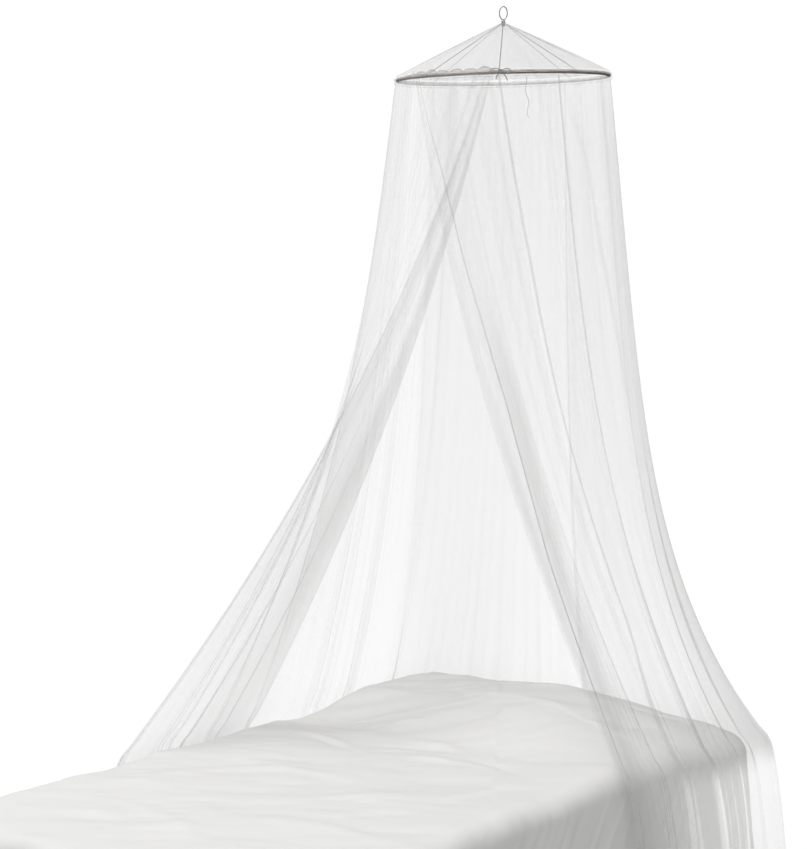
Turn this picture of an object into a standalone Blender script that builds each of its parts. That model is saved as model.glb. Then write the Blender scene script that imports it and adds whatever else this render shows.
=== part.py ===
"""Mosquito net canopy hung from a ceiling eye over a covered single bed.

Metres, +Z up. The origin is the top of the hanging eye. The bed lies along Y with its head at +Y.
Directions round the hoop are angles in degrees from the corner that the doorway faces,
positive towards the right of someone who looks in through it.
"""

import math

import bmesh
import bpy

COLLECTION_NAME = "mosquito_net_canopy"
TOUCH_GAP = 0.0003

# Heights of the whole arrangement.
HOOP_Z = -0.200
BED_TOP_Z = -2.090
FLOOR_Z = -2.600
HEM_Z = -2.500

# The doorway faces between the foot and the left side of the bed.
DOOR_TURN = math.radians(38.0)

# Hanging eye and ferrule.
EYE_WIDTH = 0.022
EYE_HEIGHT = 0.037
EYE_WIRE = 0.0015
FERRULE_RADIUS = 0.0055
FERRULE_LENGTH = 0.016

# Hoop and the cords that carry it.
HOOP_RADIUS = 0.300
HOOP_TUBE = 0.0065
HOOP_DROP_LEFT = 0.0070
HANGER_RADIUS = 0.0012
HANGER_START = 0.0042
HANGERS = (
    # name, direction, radius of the cord
    ("hanger_cord_front", -2.0, 0.0016),
    ("hanger_cord_front_left", -43.0, HANGER_RADIUS),
    ("hanger_cord_front_right", 42.0, HANGER_RADIUS),
    ("hanger_cord_back_left", -137.0, HANGER_RADIUS),
    ("hanger_cord_back_right", 138.0, HANGER_RADIUS),
)

# Sheer net.
NET_THICKNESS = 0.0011
NET_TOP_BELOW_HOOP = 0.0090
CONE_TOP_RADIUS = 0.0075
CONE_TOP_Z = -0.0470
CONE_FOOT_RADIUS = 0.3045
CONE_FOOT_ABOVE_HOOP = 0.0105
CONE_RIPPLES = 15
CONE_RIPPLE = 0.0016
BAND_RADIUS = 0.3100
BAND_BELOW = 0.0125
BAND_ABOVE = 0.0080
FRILL_RISE = 0.0140
FRILL_MIDDLE = -16.0
FRILL_HALF_SPAN = 42.0
FRILL_SCALLOPS = 26

# Where each column of a panel hangs: its share of the panel's width, its direction on the hoop,
# its distance from the hoop's middle there, the place where it meets the bed's edge, how much of
# the way out it leaves for the end, how late that comes, and how deep its folds are.
LEFT_PANEL = (
    # share, hoop direction, hoop radius, edge x, edge y, sag, lateness, fold depth
    (0.00, -6.0, 0.3055, -0.572, -0.455, 0.38, 2.0, 0.10),
    (0.06, -7.5, 0.3055, -0.578, -0.700, 0.39, 2.0, 0.10),
    (0.12, -9.0, 0.3055, -0.592, -0.945, 0.41, 2.0, 0.00),
    (0.15, -11.0, 0.3055, -0.616, -0.920, 0.42, 2.0, 0.10),
    (0.24, -24.0, 0.3055, -0.620, -0.780, 0.46, 2.1, 0.50),
    (0.36, -52.0, 0.3055, -0.620, -0.600, 0.50, 2.4, 0.90),
    (0.50, -90.0, 0.3055, -0.620, -0.360, 0.44, 2.6, 1.00),
    (0.62, -116.0, 0.3055, -0.618, -0.060, 0.48, 2.8, 1.00),
    (0.74, -140.0, 0.3055, -0.612, 0.190, 0.55, 3.2, 1.00),
    (0.83, -162.0, 0.3055, -0.590, 0.385, 0.60, 3.5, 0.60),
    (0.91, -185.0, 0.3055, -0.340, 0.430, 0.60, 3.5, 0.90),
    (1.00, -217.2, 0.3055, 0.008, 0.430, 0.60, 3.5, 0.30),
)
RIGHT_PANEL = (
    # share, hoop direction, hoop radius, edge x, edge y, sag, lateness, fold depth
    (0.00, 142.2, 0.3055, 0.014, 0.430, 0.60, 3.5, 0.30),
    (0.10, 118.0, 0.3050, 0.370, 0.455, 0.58, 4.2, 0.90),
    (0.18, 95.0, 0.3040, 0.645, 0.425, 0.58, 5.0, 0.60),
    (0.30, 66.0, 0.3020, 0.636, 0.265, 0.56, 4.5, 0.90),
    (0.42, 42.0, 0.2990, 0.624, 0.170, 0.56, 3.5, 1.00),
    (0.58, 2.0, 0.2940, 0.602, 0.030, 0.55, 2.4, 0.90),
    (0.74, -30.0, 0.2900, 0.592, -0.070, 0.48, 2.1, 0.50),
    (0.90, -52.0, 0.2890, 0.583, -0.185, 0.36, 2.0, 0.10),
    (1.00, -57.0, 0.2890, 0.580, -0.215, 0.49, 2.0, 0.05),
)
PANEL_FOLDS = 10
PANEL_COLUMNS = 54
EDGE_Z = BED_TOP_Z + 0.006
EDGE_SHARE = 0.76
ROWS_ABOVE = 10
ROWS_BELOW = 3
FOLD_DEPTH = 0.016
HEM_FOLD_DEPTH = 0.012
HEM_FLARE = 0.085
HEM_FLARE_LENGTHWISE = 0.6
FLARE_FROM_Y = -0.3

# Bed, plain and mostly hidden.
BED_X = 0.000
HEAD_Y = 0.370
MATTRESS_WIDTH = 1.100
MATTRESS_LENGTH = 1.980
MATTRESS_HEIGHT = 0.190
MATTRESS_ROUND = 0.035
BASE_INSET = 0.020
BASE_HEIGHT = 0.140
LEG_SIZE = 0.050
LEG_INSET = 0.030
PILLOW_WIDTH = 0.900
PILLOW_LENGTH = 0.460
PILLOW_HEIGHT = 0.125
PILLOW_FROM_HEAD = 0.290
PILLOW_BRIDGE = 0.055
COVER_THICKNESS = 0.0025
COVER_CLEAR = 0.0035
COVER_BOTTOM_Z = -2.470
COVER_TURN = 0.030
COVER_DIP = 0.008
COVER_FLARE = 0.022
COVER_FOLDS = 11
COVER_FOLD_DEPTH = 0.007

# Front bow and the slack tail of its cord.
BOW_DIRECTION = -1.0
BOW_CORD = 0.0012
BOW_CLEAR = 0.0075
BOW_ABOVE_HOOP = 0.0040
BOW_KNOT_RADIUS = 0.0035
# name, side, length of loop, half height of loop
BOW_LOOPS = (("bow_loop_left", -1.0, 0.024, 0.0075), ("bow_loop_right", 1.0, 0.021, 0.0065))
# name, how far sideways the end lies, how far it drops
BOW_ENDS = (("bow_end_left", -0.012, 0.020), ("bow_end_right", 0.016, 0.024))
TAIL_CORD = 0.0011
TIE_TAIL_ROUTE = (
    (0.0640, 0.2790, -0.0100),
    (0.0640, 0.2770, -0.0220),
    (0.0625, 0.2750, -0.0360),
    (0.0595, 0.2750, -0.0500),
    (0.0645, 0.2755, -0.0620),
    (0.0705, 0.2760, -0.0740),
    (0.0710, 0.2765, -0.0870),
    (0.0665, 0.2770, -0.0990),
    (0.0650, 0.2775, -0.1110),
    (0.0690, 0.2775, -0.1220),
    (0.0745, 0.2775, -0.1180),
)

COLOURS = {
    # slot: red, green, blue, roughness, metallic
    "net": (0.93, 0.93, 0.92, 0.70, 0.0),
    "cord": (0.82, 0.81, 0.78, 0.75, 0.0),
    "hoop_metal": (0.45, 0.40, 0.37, 0.40, 0.8),
    "eye_metal": (0.55, 0.54, 0.52, 0.30, 1.0),
    "bed_cover": (0.90, 0.90, 0.89, 0.85, 0.0),
    "mattress": (0.88, 0.88, 0.86, 0.90, 0.0),
    "bed_frame": (0.80, 0.79, 0.76, 0.60, 0.0),
}


def clear_scene():
    for old in list(bpy.data.objects):
        bpy.data.objects.remove(old, do_unlink=True)


def material(slot):
    found = bpy.data.materials.get(slot)
    if found:
        return found
    red, green, blue, roughness, metallic = COLOURS[slot]
    made = bpy.data.materials.new(slot)
    made.use_nodes = True
    shader = made.node_tree.nodes["Principled BSDF"]
    shader.inputs["Base Color"].default_value = (red, green, blue, 1.0)
    shader.inputs["Roughness"].default_value = roughness
    shader.inputs["Metallic"].default_value = metallic
    return made


def add_object(name, data, slot):
    """Links an object with this mesh or curve into the canopy's collection."""
    made = bpy.data.objects.new(name, data)
    data.materials.append(material(slot))
    bpy.data.collections[COLLECTION_NAME].objects.link(made)
    return made


def mesh_from(name, bm, slot, smooth=True):
    data = bpy.data.meshes.new(name)
    bm.to_mesh(data)
    bm.free()
    if smooth:
        data.shade_smooth()
    return add_object(name, data, slot)


def around(direction_deg, radius):
    """The place at this direction and distance from the hoop's middle."""
    angle = math.radians(direction_deg)
    return to_row(radius * math.sin(angle), radius * math.cos(angle))


def to_row(across, towards):
    """Turns a place given across and towards the doorway into x and y."""
    x = across * math.cos(DOOR_TURN) + towards * math.sin(DOOR_TURN)
    y = across * math.sin(DOOR_TURN) - towards * math.cos(DOOR_TURN)
    return x, y


def hoop_height(x, y):
    """The hoop hangs a little lower on its left."""
    across = x * math.cos(DOOR_TURN) + y * math.sin(DOOR_TURN)
    return HOOP_Z + HOOP_DROP_LEFT * across / HOOP_RADIUS


def ease(value):
    value = min(1.0, max(0.0, value))
    return value * value * (3.0 - 2.0 * value)


def column_at(table, share):
    """Reads a panel's table between its rows."""
    for low, high in zip(table, table[1:]):
        if share <= high[0]:
            step = (share - low[0]) / (high[0] - low[0])
            return [a + (b - a) * step for a, b in zip(low[1:], high[1:])]
    return list(table[-1][1:])


def hang_place(table, share, fall):
    """A point of the smooth panel: across its width, and from 0 at the hoop to 1 at the hem."""
    direction, radius, edge_x, edge_y, sag, lateness, depth = column_at(table, share)
    top_x, top_y = around(direction, radius)
    top_z = hoop_height(top_x, top_y) - NET_TOP_BELOW_HOOP
    if fall <= EDGE_SHARE:
        down = fall / EDGE_SHARE
        out = (1.0 - sag) * down + sag * down ** lateness
        x = top_x + (edge_x - top_x) * out
        y = top_y + (edge_y - top_y) * out
        return x, y, top_z + (EDGE_Z - top_z) * down, depth * (0.06 + 0.94 * ease(out * 1.3))
    below = (fall - EDGE_SHARE) / (1.0 - EDGE_SHARE)
    away_x, away_y = edge_x - BED_X, edge_y - FLARE_FROM_Y
    away = math.hypot(away_x, away_y)
    flare = HEM_FLARE * math.sqrt(below)
    x = edge_x + away_x / away * flare
    y = edge_y + away_y / away * flare * HEM_FLARE_LENGTHWISE
    return x, y, EDGE_Z + (HEM_Z - EDGE_Z) * below, depth


def fold_wave(share, phase):
    """The depth of a panel's folds, uneven from one to the next."""
    turn = 2.0 * math.pi * share
    wander = 0.06 * math.sin(3.0 * turn + phase) + 0.03 * math.sin(7.0 * turn)
    strength = 0.72 + 0.28 * math.sin(2.3 * turn + 2.0 * phase)
    return strength * math.sin(PANEL_FOLDS * (turn + wander * 2.0) + phase)


def net_panel(name, table, phase):
    rows = ROWS_ABOVE + ROWS_BELOW
    bm = bmesh.new()
    bmesh.ops.create_grid(bm, x_segments=PANEL_COLUMNS, y_segments=rows, size=0.5)
    step = 0.5 / PANEL_COLUMNS
    for vert in bm.verts:
        share = vert.co.x + 0.5
        line = (0.5 - vert.co.y) * rows
        fall = EDGE_SHARE * line / ROWS_ABOVE
        if line > ROWS_ABOVE:
            fall = EDGE_SHARE + (1.0 - EDGE_SHARE) * (line - ROWS_ABOVE) / ROWS_BELOW
        x, y, z, depth = hang_place(table, share, fall)
        ax, ay = hang_place(table, max(0.0, share - step), fall)[:2]
        bx, by = hang_place(table, min(1.0, share + step), fall)[:2]
        along = math.hypot(bx - ax, by - ay) or 1.0
        below = max(0.0, fall - EDGE_SHARE) / (1.0 - EDGE_SHARE)
        out = depth * (FOLD_DEPTH + HEM_FOLD_DEPTH * below) * fold_wave(share, phase)
        vert.co = (x - (by - ay) / along * out, y + (bx - ax) / along * out, z)
    made = mesh_from(name, bm, "net")
    thicken(made, NET_THICKNESS)
    return made


def thicken(made, thickness):
    wall = made.modifiers.new("thickness", "SOLIDIFY")
    wall.thickness = thickness
    wall.offset = 0.0
    wall.use_even_offset = False


def cone_net():
    """The roof of the canopy, from the ferrule down to the hoop, with soft gathers."""
    segments, rows = 60, 3
    bm = bmesh.new()
    bmesh.ops.create_grid(bm, x_segments=segments, y_segments=rows, size=0.5)
    for vert in bm.verts:
        direction = 360.0 * (vert.co.x + 0.5)
        down = 0.5 - vert.co.y
        radius = CONE_TOP_RADIUS + (CONE_FOOT_RADIUS - CONE_TOP_RADIUS) * down
        x, y = around(direction, radius)
        foot = hoop_height(*around(direction, HOOP_RADIUS)) + CONE_FOOT_ABOVE_HOOP
        ripple = math.sin(math.radians(CONE_RIPPLES * direction)) * CONE_RIPPLE
        rise = 4.0 * down * (1.0 - down) * ripple
        vert.co = (x, y, CONE_TOP_Z + (foot - CONE_TOP_Z) * down + rise)
    bmesh.ops.remove_doubles(bm, verts=bm.verts, dist=0.0001)
    made = mesh_from("cone_net", bm, "net")
    thicken(made, NET_THICKNESS)


def heading_band():
    """The sewn strip round the hoop, drawn up into a small frill at the doorway."""
    segments = 120
    bm = bmesh.new()
    bmesh.ops.create_grid(bm, x_segments=segments, y_segments=1, size=0.5)
    for vert in bm.verts:
        direction = 360.0 * vert.co.x
        high = vert.co.y + 0.5
        near = ease(1.0 - abs(direction - FRILL_MIDDLE) / FRILL_HALF_SPAN)
        scallop = abs(math.sin(math.radians(FRILL_SCALLOPS * direction * 0.5)))
        top = BAND_ABOVE + FRILL_RISE * near * (0.35 + 0.65 * scallop)
        radius = BAND_RADIUS + 0.002 * near * high * math.sin(math.radians(FRILL_SCALLOPS * direction))
        x, y = around(direction, radius)
        vert.co = (x, y, hoop_height(x, y) - BAND_BELOW + (top + BAND_BELOW) * high)
    bmesh.ops.remove_doubles(bm, verts=bm.verts, dist=0.0001)
    made = mesh_from("heading_band", bm, "net")
    thicken(made, NET_THICKNESS)


def tube(name, points, radius, slot, cyclic=False):
    """A round cord or wire through these points."""
    data = bpy.data.curves.new(name, "CURVE")
    data.dimensions = "3D"
    spline = data.splines.new("POLY")
    spline.points.add(len(points) - 1)
    for knot, point in zip(spline.points, points):
        knot.co = (*point, 1.0)
    spline.use_cyclic_u = cyclic
    data.bevel_depth = radius
    data.bevel_resolution = 2
    data.use_fill_caps = not cyclic
    return add_object(name, data, slot)


def smooth_route(points, per_span):
    """Catmull-Rom points through a hand-made route."""
    ends = [points[0], *points, points[-1]]
    found = []
    for before, start, stop, after in zip(ends, ends[1:], ends[2:], ends[3:]):
        for k in range(per_span):
            t = k / per_span
            found.append(
                tuple(
                    0.5 * (2.0 * b + (c - a) * t + (2.0 * a - 5.0 * b + 4.0 * c - d) * t * t
                           + (3.0 * b - a - 3.0 * c + d) * t * t * t)
                    for a, b, c, d in zip(before, start, stop, after)
                )
            )
    return found + [points[-1]]


def hanging_eye():
    points = []
    for k in range(28):
        turn = 2.0 * math.pi * k / 28
        x, y = to_row(EYE_WIDTH / 2.0 * math.sin(turn), 0.0)
        points.append((x, y, EYE_HEIGHT / 2.0 * (math.cos(turn) - 1.0)))
    tube("hanging_eye", points, EYE_WIRE, "eye_metal", cyclic=True)


def ferrule():
    """The crimped sleeve that gathers the cords under the eye."""
    top = -EYE_HEIGHT - EYE_WIRE - TOUCH_GAP
    bm = bmesh.new()
    bmesh.ops.create_cone(bm, cap_ends=True, segments=20, radius1=FERRULE_RADIUS,
                          radius2=FERRULE_RADIUS, depth=FERRULE_LENGTH)
    made = mesh_from("ferrule", bm, "eye_metal", smooth=False)
    made.location = (0.0, 0.0, top - FERRULE_LENGTH / 2.0)
    rounded = made.modifiers.new("rounded", "BEVEL")
    rounded.width = 0.0015
    rounded.segments = 2


def hanger_cords():
    start_z = -EYE_HEIGHT - EYE_WIRE - FERRULE_LENGTH - 2.0 * TOUCH_GAP
    for name, direction, radius in HANGERS:
        x0, y0 = around(direction, HANGER_START)
        x1, y1 = around(direction, HOOP_RADIUS - 0.006)
        end_z = hoop_height(x1, y1) + HOOP_TUBE + radius + TOUCH_GAP
        tube(name, [(x0, y0, start_z - radius), (x1, y1, end_z)], radius, "cord")


def hoop():
    points = []
    for k in range(48):
        x, y = around(7.5 * k, HOOP_RADIUS)
        points.append((x, y, hoop_height(x, y)))
    tube("hoop", points, HOOP_TUBE, "hoop_metal", cyclic=True)


def front_bow():
    """A small bow of cord on the heading at the doorway: knot, two loops and two free ends."""
    out = BAND_RADIUS + BOW_CLEAR
    middle_z = hoop_height(*around(BOW_DIRECTION, out)) + BOW_ABOVE_HOOP
    x, y = around(BOW_DIRECTION, out)
    bm = bmesh.new()
    bmesh.ops.create_uvsphere(bm, u_segments=12, v_segments=8, radius=BOW_KNOT_RADIUS)
    knot = mesh_from("bow_knot", bm, "cord")
    knot.location = (x, y, middle_z)
    for name, side, long, high in BOW_LOOPS:
        points = []
        for k in range(20):
            turn = 2.0 * math.pi * k / 20
            across = side * (0.0054 + long * 0.5 * (1.0 - math.cos(turn)))
            rise = high * math.sin(turn) * (0.9 - 0.1 * math.cos(turn))
            px, py = to_row(across + out * math.sin(math.radians(BOW_DIRECTION)), out)
            points.append((px, py, middle_z + rise - 0.10 * abs(across)))
        tube(name, points, BOW_CORD, "cord", cyclic=True)
    for name, across, drop in BOW_ENDS:
        route = [(0.0, 0.0, -0.0052), (across * 0.35, 0.001, -0.010), (across * 0.75, 0.001, -drop * 0.75),
                 (across, 0.0, -drop - 0.004)]
        points = []
        for side, towards, rise in smooth_route(route, 4):
            px, py = to_row(side + out * math.sin(math.radians(BOW_DIRECTION)) + math.copysign(0.0015, across),
                            out + towards)
            points.append((px, py, middle_z + rise))
        tube(name, points, BOW_CORD, "cord")


def tie_tail():
    """The slack end of the tie, hanging free inside the hoop."""
    points = []
    for across, towards, rise in smooth_route(TIE_TAIL_ROUTE, 3):
        x, y = to_row(across, towards)
        points.append((x, y, HOOP_Z + rise))
    tube("tie_tail", points, TAIL_CORD, "cord")


def box(name, low, high, slot, rounded=0.0, segments=3):
    bm = bmesh.new()
    bmesh.ops.create_cube(bm, size=1.0)
    middle = [(a + b) / 2.0 for a, b in zip(low, high)]
    bmesh.ops.scale(bm, vec=[b - a for a, b in zip(low, high)], verts=bm.verts)
    made = mesh_from(name, bm, slot, smooth=False)
    made.location = middle
    if rounded:
        edge = made.modifiers.new("rounded", "BEVEL")
        edge.width = rounded
        edge.segments = segments
    return made


def pillow_rise(x, y, around_it=0.0):
    """The height of the pillow's crown at this place, or of a cloth that bridges its foot."""
    u = abs(x - BED_X) / (PILLOW_WIDTH / 2.0 + around_it)
    v = abs(y - HEAD_Y + PILLOW_FROM_HEAD) / (PILLOW_LENGTH / 2.0 + around_it)
    if u >= 1.0 or v >= 1.0:
        return 0.0
    crown = (1.0 - u ** 3.0) * (1.0 - v ** 2.4)
    return PILLOW_HEIGHT * (crown if around_it else crown ** 0.8)


def bed():
    half = MATTRESS_WIDTH / 2.0
    top = BED_TOP_Z - COVER_CLEAR - COVER_THICKNESS
    under = top - MATTRESS_HEIGHT
    low = (BED_X - half, HEAD_Y - MATTRESS_LENGTH, under)
    box("mattress", low, (BED_X + half, HEAD_Y, top), "mattress", MATTRESS_ROUND)
    base_top = under - TOUCH_GAP
    base_low = (low[0] + BASE_INSET, low[1] + BASE_INSET, base_top - BASE_HEIGHT)
    base_high = (BED_X + half - BASE_INSET, HEAD_Y - BASE_INSET, base_top)
    box("bed_base", base_low, base_high, "bed_frame")
    leg_top = base_low[2] - TOUCH_GAP
    for side, x in (("left", base_low[0] + LEG_INSET), ("right", base_high[0] - LEG_INSET - LEG_SIZE)):
        for end, y in (("foot", base_low[1] + LEG_INSET), ("head", base_high[1] - LEG_INSET - LEG_SIZE)):
            box(f"bed_leg_{end}_{side}", (x, y, FLOOR_Z), (x + LEG_SIZE, y + LEG_SIZE, leg_top), "bed_frame")
    pillow(top + TOUCH_GAP)


def pillow(bottom):
    """One filled pillow lying under the cover, flat below and crowned above."""
    bm = bmesh.new()
    bmesh.ops.create_grid(bm, x_segments=12, y_segments=8, size=0.5)
    for vert in bm.verts:
        x = BED_X + vert.co.x * PILLOW_WIDTH
        y = HEAD_Y - PILLOW_FROM_HEAD + vert.co.y * PILLOW_LENGTH
        vert.co = (x, y, bottom + 0.003 + 0.80 * pillow_rise(x, y))
    skirt = bmesh.ops.extrude_face_region(bm, geom=bm.faces[:])
    for part in skirt["geom"]:
        if isinstance(part, bmesh.types.BMVert):
            part.co.z = bottom
    bmesh.ops.recalc_face_normals(bm, faces=bm.faces)
    mesh_from("pillow", bm, "mattress")


def cover_lines(low, high, edge_steps, top_steps, drop):
    """Distances along one way across the cover: down one side, over the top, down the other."""
    fallen = [COVER_TURN + (drop - COVER_TURN) * k / edge_steps for k in range(edge_steps + 1)]
    inner_low, inner_high = low + COVER_TURN, high - COVER_TURN
    over = [inner_low + (inner_high - inner_low) * k / top_steps for k in range(top_steps + 1)]
    return [low - d for d in reversed(fallen)] + [low, *over, high] + [high + d for d in fallen]


def bed_cover():
    """One cloth over mattress and pillow that falls down all four sides in soft folds."""
    clear = COVER_CLEAR + COVER_THICKNESS / 2.0
    low_x, high_x = BED_X - MATTRESS_WIDTH / 2.0 - clear, BED_X + MATTRESS_WIDTH / 2.0 + clear
    low_y, high_y = HEAD_Y - MATTRESS_LENGTH - clear, HEAD_Y + clear
    drop = BED_TOP_Z - COVER_BOTTOM_Z
    xs = cover_lines(low_x, high_x, 3, 14, drop)
    ys = cover_lines(low_y, high_y, 3, 22, drop)
    bm = bmesh.new()
    bmesh.ops.create_grid(bm, x_segments=len(xs) - 1, y_segments=len(ys) - 1, size=0.5)
    for vert in bm.verts:
        x = xs[round((vert.co.x + 0.5) * (len(xs) - 1))]
        y = ys[round((vert.co.y + 0.5) * (len(ys) - 1))]
        vert.co = cover_place(x, y, (low_x, high_x, low_y, high_y), drop)
    made = mesh_from("bed_cover", bm, "bed_cover")
    thicken(made, COVER_THICKNESS)


def cover_place(x, y, edges, drop):
    low_x, high_x, low_y, high_y = edges
    over_x = max(low_x - x, 0.0, x - high_x)
    over_y = max(low_y - y, 0.0, y - high_y)
    fallen = max(over_x, over_y)
    flat_x = min(max(x, low_x), high_x)
    flat_y = min(max(y, low_y), high_y)
    if fallen <= 0.0:
        crown = pillow_rise(flat_x, flat_y, PILLOW_BRIDGE)
        near = min(flat_x - low_x, high_x - flat_x, flat_y - low_y, high_y - flat_y)
        dip = COVER_DIP if near < 0.5 * COVER_TURN else 0.0
        return flat_x, flat_y, BED_TOP_Z - COVER_THICKNESS / 2.0 - dip + crown
    share = fallen / drop
    corner = min(over_x, over_y) / fallen
    way_x = math.copysign(over_x, x - flat_x) if over_x else 0.0
    way_y = math.copysign(over_y, y - flat_y) if over_y else 0.0
    size = math.hypot(way_x, way_y)
    run = (flat_x + flat_y) if not corner else 0.0
    wave = COVER_FOLD_DEPTH * math.sin(COVER_FOLDS * run + 1.5 * math.sin(2.0 * run)) * share
    out = 0.004 + COVER_FLARE * share * (1.0 + 1.2 * corner) + wave * (1.0 - corner)
    z = BED_TOP_Z - fallen
    return flat_x + way_x / size * out, flat_y + way_y / size * out, z


def main():
    clear_scene()
    collection = bpy.data.collections.new(COLLECTION_NAME)
    bpy.context.scene.collection.children.link(collection)
    hanging_eye()
    ferrule()
    hoop()
    hanger_cords()
    cone_net()
    heading_band()
    net_panel("net_panel_left", LEFT_PANEL, 0.7)
    net_panel("net_panel_right", RIGHT_PANEL, 2.1)
    front_bow()
    tie_tail()
    bed()
    bed_cover()


main()
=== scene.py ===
"""Looks of a mosquito net canopy that hangs over a covered single bed.

Laid out as an add-on file and run as a script. Metres, +Z up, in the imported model's own frame.
"""

import math

import bpy
import numpy as np
from bpy.props import FloatProperty, FloatVectorProperty, IntProperty, PointerProperty
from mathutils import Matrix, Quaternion, Vector


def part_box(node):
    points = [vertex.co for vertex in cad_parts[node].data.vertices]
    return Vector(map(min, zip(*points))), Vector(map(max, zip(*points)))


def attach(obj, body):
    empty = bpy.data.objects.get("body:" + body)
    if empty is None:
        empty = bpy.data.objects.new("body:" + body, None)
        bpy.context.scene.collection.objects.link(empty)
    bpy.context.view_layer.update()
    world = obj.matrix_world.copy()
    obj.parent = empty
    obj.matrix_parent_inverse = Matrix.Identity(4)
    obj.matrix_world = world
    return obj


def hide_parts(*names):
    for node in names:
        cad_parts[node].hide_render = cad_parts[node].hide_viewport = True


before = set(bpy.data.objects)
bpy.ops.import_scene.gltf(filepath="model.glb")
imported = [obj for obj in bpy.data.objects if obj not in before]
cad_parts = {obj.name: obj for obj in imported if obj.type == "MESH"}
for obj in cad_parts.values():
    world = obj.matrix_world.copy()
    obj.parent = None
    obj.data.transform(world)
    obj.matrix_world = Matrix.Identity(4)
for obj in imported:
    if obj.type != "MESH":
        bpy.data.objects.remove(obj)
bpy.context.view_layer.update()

bl_info = {
    "name": "Net canopy and bed",
    "version": (1, 0, 0),
    "blender": (4, 5, 0),
    "location": "View3D > Sidebar > Canopy",
    "description": "Builds the finish of a mosquito net canopy over a single bed",
    "category": "Object",
}

HOOP_LOW, HOOP_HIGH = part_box("hoop")
HOOP_TUBE = 0.0065
HOOP_RADIUS = (HOOP_HIGH[0] - HOOP_LOW[0]) / 2.0 - HOOP_TUBE
HOOP_Z = (HOOP_LOW[2] + HOOP_HIGH[2]) / 2.0
HOOP_DROP_LEFT = 0.0070
MATTRESS_LOW, MATTRESS_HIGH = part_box("mattress")
FLOOR_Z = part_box("bed_leg_foot_left")[0][2]
NET_HEM_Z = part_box("net_panel_left")[0][2]

DOOR_TURN = math.radians(38.0)
BED_TOP_Z = MATTRESS_HIGH[2] + 0.006
EDGE_Z = BED_TOP_Z + 0.006
EDGE_SHARE = 0.76
FOLD_DEPTH = 0.016
HEM_FOLD_DEPTH = 0.012
HEM_FLARE = 0.085
HEM_FLARE_LENGTHWISE = 0.6
FLARE_FROM_Y = -0.3
NET_TOP_BELOW_HOOP = 0.0090

# Net cone: from a small ring under the ferrule to just above the hoop.
CONE_TOP_RADIUS = 0.0075
CONE_FOOT_RADIUS = 0.3045
CONE_TOP_Z = -0.047
CONE_FOOT_ABOVE_HOOP = 0.0105
CONE_FLAT = (1.9, 0.33)

# Heading: a narrow gathered band outside the hoop, with scallops along part of it.
HEADING_RADIUS = 0.3088
HEADING_DEEP = 0.022
HEADING_LOW = -0.0125
HEADING_RISE = 0.0050
FRILL_FROM, FRILL_TO = -58.0, -3.0
SCALLOP_WIDE = 7.5
SCALLOP_RISE = 0.0125
TALLEST_SCALLOP = -10.0
SLEEVE_DEEP = 0.046
# Painted light: emission that makes the sleeve round the hoop paler than its lighting leaves it.
SLEEVE_PAINTED_LIGHT = 0.45

# Bed cover: the flat top's half sizes to the turn of the edge, and how far it hangs.
COVER_HALF_WIDE, COVER_HALF_LONG = 0.572, 1.004
COVER_TURN = 0.062
COVER_DROP = 0.398
COVER_ABOVE_BED = 0.009
PILLOW_HALF_SIZES = (0.42, 0.21, 0.033)
PILLOW_FROM_HEAD = 0.29

# Painted light: emission that brightens the right panel where it hangs beside the bed's side.
SIDE_PAINTED_LIGHT = 0.46
TAIL_THICKNESS = 0.0018
HANGER_START = 0.0042
HANGER_TOP_Z = -0.046
HANGER_FOOT_ABOVE_HOOP = 0.004

FLOOR_SIZE = 600.0
CAMERA_BELOW_HOOP = 0.3131
CAMERA_LOOKS_DOWN = 6.684
CAMERA_LOOKS_LEFT = 2.796
SOFT_LIGHT = 0.46
BACKGROUND = 1.005
# Place, what it points at, size and power of each light.
LIGHTS = (
    ("key_light", (-1.4, -3.4, 4.2), (0.0, -0.4, -2.0), 3.5, 285.0),
    ("fill_light", (5.5, -3.2, -0.8), (0.3, -0.2, -1.8), 4.0, 95.0),
    ("side_light", (2.4, 0.9, -1.9), (0.57, 0.15, -2.3), 1.2, 6.0),
)

# Where each column of a panel hangs, as in the solid model.
PANEL_COLUMNS = ("share", "direction", "radius", "edge_x", "edge_y", "sag", "lateness", "depth")
LEFT_PANEL = (
    (0.00, -6.0, 0.3055, -0.572, -0.455, 0.38, 2.0, 0.10),
    (0.06, -7.5, 0.3055, -0.578, -0.700, 0.39, 2.0, 0.10),
    (0.12, -9.0, 0.3055, -0.592, -0.945, 0.41, 2.0, 0.00),
    (0.15, -11.0, 0.3055, -0.616, -0.920, 0.42, 2.0, 0.10),
    (0.24, -24.0, 0.3055, -0.620, -0.780, 0.46, 2.1, 0.50),
    (0.36, -52.0, 0.3055, -0.620, -0.600, 0.50, 2.4, 0.90),
    (0.50, -90.0, 0.3055, -0.620, -0.360, 0.44, 2.6, 1.00),
    (0.62, -116.0, 0.3055, -0.618, -0.060, 0.48, 2.8, 1.00),
    (0.74, -140.0, 0.3055, -0.612, 0.190, 0.55, 3.2, 1.00),
    (0.83, -162.0, 0.3055, -0.590, 0.385, 0.60, 3.5, 0.60),
    (0.91, -185.0, 0.3055, -0.340, 0.430, 0.60, 3.5, 0.90),
    (1.00, -217.2, 0.3055, 0.008, 0.430, 0.60, 3.5, 0.30),
)
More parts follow.
